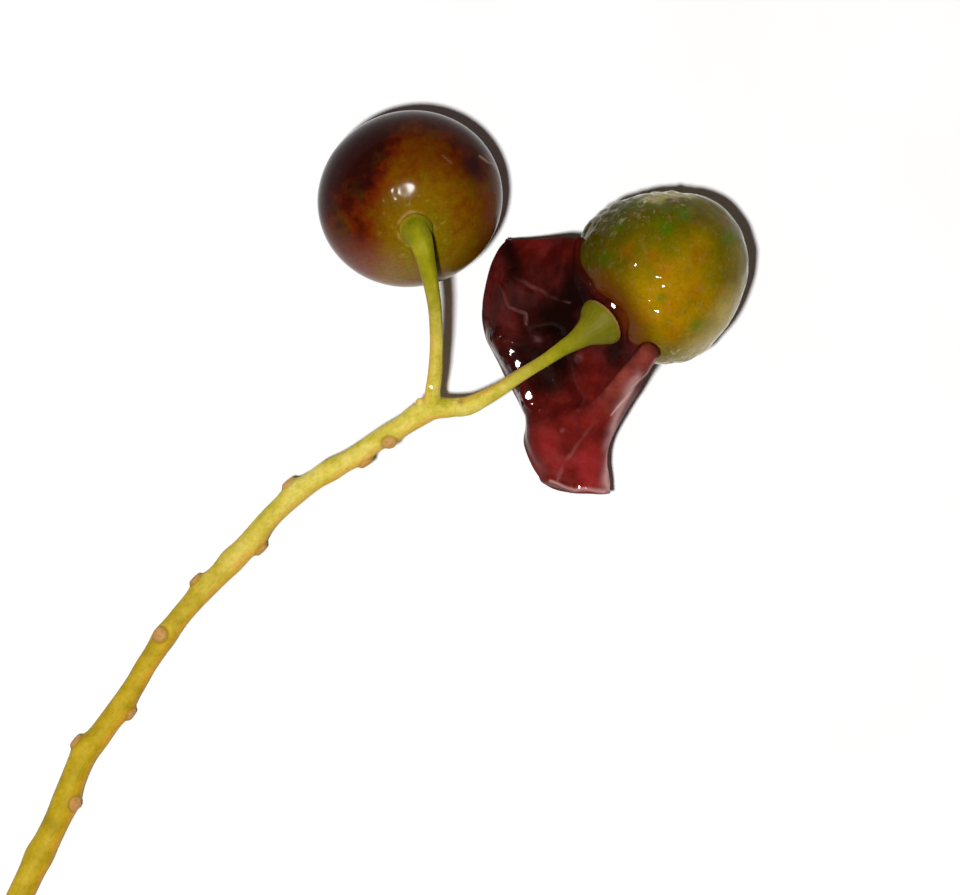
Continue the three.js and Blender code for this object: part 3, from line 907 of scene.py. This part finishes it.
peel = {
    # five lines across the sheet, from the edge on the flesh to the outer one
    "lines": [
        [(6.5, 7.2, 4.3), (6.45, 6.19, 4.9), (6.85, 5.42, 5.7), (7.28, 5.06, 5.6), (7.88, 4.76, 5.95),
         (8.48, 4.16, 6.5), (8.82, 3.58, 6.66), (9.11, 3.14, 6.54), (9.42, 2.78, 5.9), (9.74, 2.4, 5.5)],
        [(5.92, 7.19, 3.9), (5.81, 6.19, 4.25), (6.35, 5.11, 4.73), (6.95, 4.46, 4.51), (7.36, 3.91, 4.26),
         (7.72, 3.34, 4.19), (8.06, 2.92, 4.43), (8.47, 2.47, 4.88), (8.91, 2.02, 5.21), (9.36, 1.64, 4.9)],
        [(5.2, 7.2, 2.7), (4.95, 6.15, 3.2), (5.05, 4.75, 3.7), (5.45, 3.6, 3.6), (6.05, 2.55, 3.3),
         (6.65, 1.8, 3.25), (7.15, 1.35, 3.55), (7.72, 1.08, 3.95), (8.32, 0.88, 3.75), (8.85, 0.75, 3.2)],
        [(4.05, 7.18, 1.7), (3.5, 6.1, 1.8), (3.22, 4.6, 1.75), (3.0, 3.05, 1.7), (3.62, 1.85, 1.75),
         (4.3, 0.2, 1.85), (4.7, -1.3, 2.05), (5.7, -2.4, 2.35), (6.7, -2.3, 2.6), (7.6, -1.6, 2.7)],
        [(3.15, 7.2, 1.0), (2.6, 6.1, 0.75), (2.24, 4.55, 0.65), (2.33, 3.25, 0.5), (3.2, 1.4, 0.34),
         (4.08, -0.45, 0.45), (4.04, -1.8, 0.8), (4.92, -3.3, 1.0), (6.1, -3.68, 1.5), (7.65, -3.72, 2.2)],
    ],
    "thickness": 0.16,
    "columns": 280,
    "rows": 174,
    # how it lies on the flesh: let down at its edge, raised beyond it, and how softly it meets the skin
    "eased": (0.3, 0.12, 0.12),
    # the edge under the flesh: how far down the sheet, how much more beside the stalk's disc, how deep
    "tucked": (0.03, 0.15, 0.25),
    "unevenness": 0.03,
    "wavering": 0.09,
    "bentDown": 0.2,                   # of the right edge
    # the rolled strip seen from above: path, half width and height
    "roll": [(9.26, 2.24), (8.57, 1.43), (7.83, 0.57), (7.17, -0.22), (6.7, -0.8)],
    "rollSize": (0.4, 0.4),
    # folds seen from above: path, width, height, and how soon they fade at each end
    "folds": [
        ([(2.91, 5.43), (3.09, 4.74), (3.26, 4.3), (3.61, 4.13), (4.0, 3.96), (4.0, 3.48)], 0.05, 0.05, 0.1),
        ([(3.39, 5.7), (3.87, 5.39), (4.61, 4.96), (5.09, 4.74), (5.87, 4.48)], 0.05, 0.035, 0.15),
        ([(7.26, -0.48), (6.87, -0.83), (6.09, -1.91), (5.83, -2.22), (5.39, -2.96), (5.33, -3.3)],
         0.06, 0.06, 0.12),
        ([(3.09, 7.26), (3.3, 6.52), (3.43, 5.87)], 0.16, -0.12, 0.1),
        ([(2.43, 3.4), (2.83, 2.85), (3.35, 2.2), (3.7, 1.6), (4.0, 0.87), (4.26, 0.0), (4.33, -0.5)],
         0.3, 0.3, 0.15),
        ([(4.35, 3.6), (4.6, 2.6), (5.0, 1.4), (5.4, 0.3), (5.6, -0.6)], 0.8, -0.7, 0.2),
        ([(4.6, -3.0), (5.1, -3.32), (6.04, -3.58), (7.6, -3.62)], 0.15, 0.12, 0.1),
    ],
    # the thin folds carry a pale painted highlight along them
    "creases": 3,                      # how many of the folds above are thin and pale
    # small domes: x, y, width, height and paleness, which is painted sheen
    "domes": [(4.48, 2.96, 0.24, 0.09, 0.7), (6.26, 2.04, 0.2, 0.08, 0.6), (3.43, 3.5, 0.2, 0.06, 0.15),
              (5.57, -1.09, 0.09, 0.05, 1), (6.3, -0.26, 0.08, 0.04, 1)],
    # highlights: x, y and reach
    "facets": [
        (7.52, 4.41, 0.15), (7.96, 4.17, 0.16), (7.74, 4.29, 0.21), (2.78, 2.95, 0.2), (3.02, 2.76, 0.16),
        (3.37, 2.28, 0.36), (3.62, 1.84, 0.31), (4.02, 0.7, 0.28), (4.22, 0.1, 0.26), (4.1, 0.42, 0.32),
        (6.05, -3.56, 0.15), (6.52, -3.6, 0.16), (6.28, -3.58, 0.17), (5.57, -1.09, 0.12),
    ],
    "wetLip": (7.76, 4.28, 0.4),       # a shiny place on the edge: x, y and width
    "dull": [(4.91, 1.65, 0.4), (5.09, 1.13, 0.4)],    # no shine here: x, y and width
    # thinner, redder places, partly painted light, and thicker, darker ones, partly painted shade in the
    # hollows and along the valley: x, y, width and strength
    "thinAndLit": [
        (4.6, 6.95, 0.7, 0.4), (2.75, 5.5, 0.55, 0.1), (3.3, 3.5, 0.5, 0.25), (4.6, 4.55, 0.55, 0.22),
        (6.9, 2.0, 0.5, 0.25), (7.1, 1.1, 0.8, 0.3), (5.6, -0.4, 1.2, 0.35), (4.9, -1.7, 0.9, 0.6),
        (5.3, -2.7, 0.9, 0.6), (6.9, -2.4, 0.9, 0.75), (6.6, -3.4, 0.7, 0.6), (7.2, -0.6, 0.8, 0.4),
    ],
    "thickAndShaded": [
        (4.2, 2.4, 0.9, 0.7), (5.4, 1.9, 0.7, 0.5), (4.9, 1.1, 0.7, 0.6), (5.3, 4.0, 0.9, 0.9),
        (6.0, 5.6, 0.5, 0.6), (6.2, 4.7, 0.6, 0.6), (7.9, 2.4, 0.6, 0.6), (5.9, 3.2, 0.7, 0.6),
        (3.2, 6.9, 0.3, 0.7), (3.35, 6.4, 0.3, 0.6), (3.5, 5.9, 0.35, 0.5), (5.0, -0.6, 0.5, 0.3),
        (6.1, -2.9, 0.35, 0.4), (5.6, -1.9, 0.4, 0.3),
    ],
    # whitish bands of a wet film with painted reflection, seen from above: path and width
    "filmReflection": [
        ([(8.78, 1.3), (8.3, 0.45), (7.95, -0.3), (7.68, -1.0), (7.55, -2.0), (7.5, -3.6)], 0.2),
        ([(9.6, 2.0), (8.95, 1.2), (8.2, 0.32), (7.6, -0.38)], 0.06),
        ([(5.0, -3.3), (6.1, -3.66), (7.3, -3.7)], 0.06),
    ],
    "tones": [(0.0, (20, 6, 4)), (0.3, (44, 10, 7)), (0.5, (76, 15, 11)), (0.68, (110, 26, 22)),
              (0.9, (142, 34, 36))],
    "stripTones": [(0.35, (112, 42, 32)), (0.65, (142, 66, 56))],
    "mist": (0.35, (140, 62, 60)),
    "marks": [
        # the crease mark is a painted highlight
        ("creaseHighlight", 0.4, (150, 100, 96)), ("lip", 0.7, (52, 12, 4)), ("ochre", 0.9, (98, 44, 3)),
        # painted reflection in the film bands and painted sheen on the domes
        ("filmReflection", 0.68, (196, 150, 146)), ("domeSheen", 0.5, (140, 92, 96)),
    ],
    "grain": (0.5, 0.6, (24, 4, 3)),
    "finish": {"Roughness": 0.4, "IOR": 1.05, "Coat Roughness": 0.06, "Coat IOR": 1.11},
}


def peelMiddle(across, down):
    # the sheet through the five lines, eased outwards where it would sink in the flesh
    lines = np.array(peel["lines"])
    onLines = throughPoints(np.swapaxes(lines, 0, 1), across)
    sheet = throughPoints(np.swapaxes(onLines, 0, 1), down)
    away = sheet - fleshCentre
    size = np.linalg.norm(away, axis=-1)
    directions = away / size[..., None]
    lifted = smoothStep(down, 0.04, 0.3)[:, None]
    skin = fleshReach(directions, *flesh["dimple"])
    ground = skin + peel["thickness"] / 2
    letDown, raised, softness = peel["eased"]
    gap = (size - letDown + (letDown + raised) * lifted - ground) * (0.1 + 0.9 * lifted)
    reach = ground + (gap + np.hypot(gap, softness)) / 2
    rim, beside, depth = peel["tucked"]
    fromRoll, _ = pathDistance(sheet[..., :2], peel["roll"])
    edge = rim + beside * smoothStep(across, 0.54, 0.76)[None]
    hidden = (1 - smoothStep(down[:, None] - edge, -0.03, 0.03)) * smoothStep(fromRoll, 0.4, 0.52)
    reach += (skin - depth - reach) * hidden
    return fleshCentre + directions * reach[..., None]


def wavering(sheet):
    # the sheet seen from above with its sideways places pushed about by noise, so that folds run unevenly
    pushes = np.stack([latticeNoise(sheet, 1.5, 83), latticeNoise(sheet, 1.5, 84)], -1)
    return sheet[..., :2] + peel["wavering"] * pushes


def peelSheet():
    # the eased sheet raised along its normals by folds, domes and noise, then upwards by half a round bar for
    # the roll, with flat facets for its highlights and its right edge bent down
    across = np.linspace(0, 1, peel["columns"])
    down = np.linspace(0, 1, peel["rows"])
    sheet = peelMiddle(across, down)
    uneven = wavering(sheet)
    lift = spotted(sheet, [(x, y, width, height) for x, y, width, height, _ in peel["domes"]])
    for path, width, height, fade in peel["folds"]:
        gap, along = pathDistance(uneven, path)
        ends = smoothStep(along, 0, fade) * (1 - smoothStep(along, 1 - fade, 1))
        lift += height * bell(gap, width) * ends
    gap, along = pathDistance(sheet[..., :2], peel["roll"])
    halfWidth, height = peel["rollSize"]
    bar = np.sqrt(np.clip(1 - (gap / halfWidth) ** 2, 0, 1)) * (1 - smoothStep(along, 0.45, 1))
    lift += peel["unevenness"] * layeredNoise(sheet, 0.9, 3, 81)
    sheet = sheet + surfaceNormals(sheet) * lift[..., None]
    sheet[..., 2] += height * bar
    sheet = withFacets(sheet, peel["facets"])
    bent = smoothStep(across, 0.95, 1.0)[None] * smoothStep(down, 0.2, 0.4)[:, None]
    sheet[..., 2] -= peel["bentDown"] * bent ** 2
    sheet[..., 2] = np.maximum(sheet[..., 2], 0.1)
    return sheet


def peelFields(sheet, normals):
    # for each point of the sheet: how red it is, partly painted light and shade, and the marks there
    rows, columns = sheet.shape[:2]
    down = np.linspace(0, 1, rows)[:, None]
    across = np.linspace(0, 1, columns)[None]
    uneven = wavering(sheet)
    gap, along = pathDistance(sheet[..., :2], peel["roll"])
    strip = (1 - smoothStep(gap, 0.3, 0.46)) * (1 - smoothStep(along, 0.45, 0.95))
    creases = [pathDistance(uneven, path) for path, *_ in peel["folds"][:peel["creases"]]]
    # pale painted highlight along the thin folds
    creaseHighlight = sum(bell(gap, 0.045) * smoothStep(along, -0.1, 0.8) for gap, along in creases)
    # redder where thin and lit, darker where thick and where painted shade lies in the hollows
    red = spotted(sheet, peel["thinAndLit"]) - spotted(sheet, peel["thickAndShaded"])
    red += 0.15 * layeredNoise(sheet, 0.8, 3, 91)
    # painted sheen on the domes
    domeSheen = spotted(sheet, [(x, y, 0.8 * width, paleness) for x, y, width, _, paleness in peel["domes"]])
    steep = (1 - smoothStep(normals[..., 2], 0.45, 0.8)) * (1 - smoothStep(down, 0.4, 0.6))
    matte = np.maximum(strip, steep * (1 - spotted(sheet, [peel["wetLip"]]))) + spotted(sheet, peel["dull"])
    lip = (1 - smoothStep(down, 0.0, 0.16)) + 0 * across
    return {
        "red": np.clip(red, -1, 1), "strip": strip, "lip": lip,
        "creaseHighlight": creaseHighlight * smoothStep(latticeNoise(sheet, 2.2, 95), -0.6, 0.5),
        "ochre": lip * smoothStep(across, 0.45, 0.6) * (1 - smoothStep(across, 0.84, 0.92)),
        # painted reflection along the wet film bands
        "filmReflection": sum(bell(pathDistance(uneven, path)[0], width) for path, width in peel["filmReflection"]),
        "domeSheen": domeSheen * (0.4 + 0.6 * smoothStep(latticeNoise(sheet, 4.5, 97), -0.3, 0.3)),
        "matte": np.minimum(matte, 1),
    }


def peelPiece():
    # the sheet thickened both ways along its normals, with a strip of faces closing its edges
    sheet = peelSheet()
    normals = surfaceNormals(sheet)
    half = normals * peel["thickness"] / 2
    points = np.concatenate([(sheet + half).reshape(-1, 3), (sheet - half).reshape(-1, 3)])
    points[:, 2] = np.maximum(points[:, 2], 0.01)
    rows, columns = sheet.shape[:2]
    layer = rows * columns
    top = gridFaces(rows, columns, False)
    bottom = gridFaces(rows, columns, False, layer)
    index = np.arange(layer).reshape(rows, columns)
    border = np.concatenate([index[0, :-1], index[:-1, -1], index[-1, :0:-1], index[:0:-1, 0]])
    following = np.roll(border, -1)
    wall = np.stack([following, border, border + layer, following + layer], -1)
    faces = np.concatenate([top[:, ::-1], bottom, wall[:, ::-1]]).tolist()
    fields = {key: np.tile(values.ravel(), 2) for key, values in peelFields(sheet, normals).items()}
    return newPiece(newMesh("peelSkin", toRow(points), faces), fields)


def peelMaterial():
    # redness through the skin colours, then mist, the rolled strip, the marks with their painted highlights,
    # reflections and sheen, and grain
    m, shader = startMaterial("peel skin", peel["finish"])
    where = place(m)
    cloud = noise(m, where, 1.4, 4, 0.6)
    fine = noise(m, where, 8, 3, 0.6)
    red = calc(m, "ADD", attribute(m, "red"), aroundZero(m, cloud, 0.85))
    red = calc(m, "MULTIPLY_ADD", red, 0.5, 0.4)     # from -0.8 to 1.2, as 0 to 1
    base = ramp(m, red, peel["tones"])
    share, colour = peel["mist"]
    mist = mask(m, noise(m, where, 0.8, 4, 0.65), 0.45, 0.7)
    base = blendColour(m, product(m, product(m, mist, red), share), base, tone(*colour))
    strip = product(m, attribute(m, "strip"), 0.8)
    base = blendColour(m, strip, base, ramp(m, cloud, peel["stripTones"]))
    base = dusted(m, painted(m, base, peel["marks"]), fine, *peel["grain"])
    feed(m, shader.inputs["Base Color"], base)
    coat = calc(m, "MULTIPLY_ADD", attribute(m, "matte"), -0.84, 0.85)   # 0.85, and nearly none where matte
    feed(m, shader.inputs["Coat Weight"], coat)
    feed(m, shader.inputs["Normal"], bump(m, cloud, 0.00008, 0.6, bump(m, fine, 0.00001, 0.5)))
    return m


dressed(peelPiece(), "peel", peelMaterial())


# floor, lamp and camera

floor = {
    "halfWidth": 300,                  # mm
    "points": 5,
    "tones": [(0.3, (238.61, 238.61, 238.0)), (0.7, (243.45, 243.45, 242.85))],
    "finish": {"Roughness": 0.75},
}


def makeFloor():
    # a square grid, level at 0
    side = np.linspace(-floor["halfWidth"], floor["halfWidth"], floor["points"])
    x, y = np.meshgrid(side, side)
    faces = gridFaces(len(side), len(side), False).tolist()
    piece = newPiece(newMesh("paleFloor", toRow(np.stack([x, y, 0 * x], -1)), faces), {})
    m, shader = startMaterial("pale floor", floor["finish"])
    feed(m, shader.inputs["Base Color"], ramp(m, noise(m, place(m), 0.15, 3, 0.5), floor["tones"]))
    piece.data.materials.append(m)


makeFloor()

lamp = bpy.data.lights.new("flash", "AREA")
lamp.shape = "DISK"
lamp.size = flash["size"]
lamp.energy = flash["power"]
lampPiece = bpy.data.objects.new("flash", lamp)
towards = unit([*flash["lean"], 1])
lampPiece.location = (toRow(aim)[0] + towards * flash["distance"]).tolist()
lampPiece.rotation_euler = Vector(towards.tolist()).to_track_quat("Z", "Y").to_euler()
bpy.context.scene.collection.objects.link(lampPiece)

world = bpy.data.worlds.new("studio")
world.use_nodes = True
background = world.node_tree.nodes["Background"]
background.inputs["Color"].default_value = surround["colour"]
background.inputs["Strength"].default_value = surround["strength"]
bpy.context.scene.world = world

camera = bpy.data.cameras.new("camera")
camera.sensor_width = view["sensor"]
camera.lens = view["sensor"] * view["height"] / (view["pixels"] / view["pixelsPerMm"] * 0.001)
camera.clip_start = 0.01
camera.clip_end = 5
eye = bpy.data.objects.new("camera", camera)
eye.location = (toRow(aim)[0] + [0, 0, view["height"]]).tolist()
bpy.context.scene.collection.objects.link(eye)
bpy.context.scene.camera = eye
bpy.context.scene.view_settings.view_transform = "Standard"
print("set up", "floor, lamp and camera")
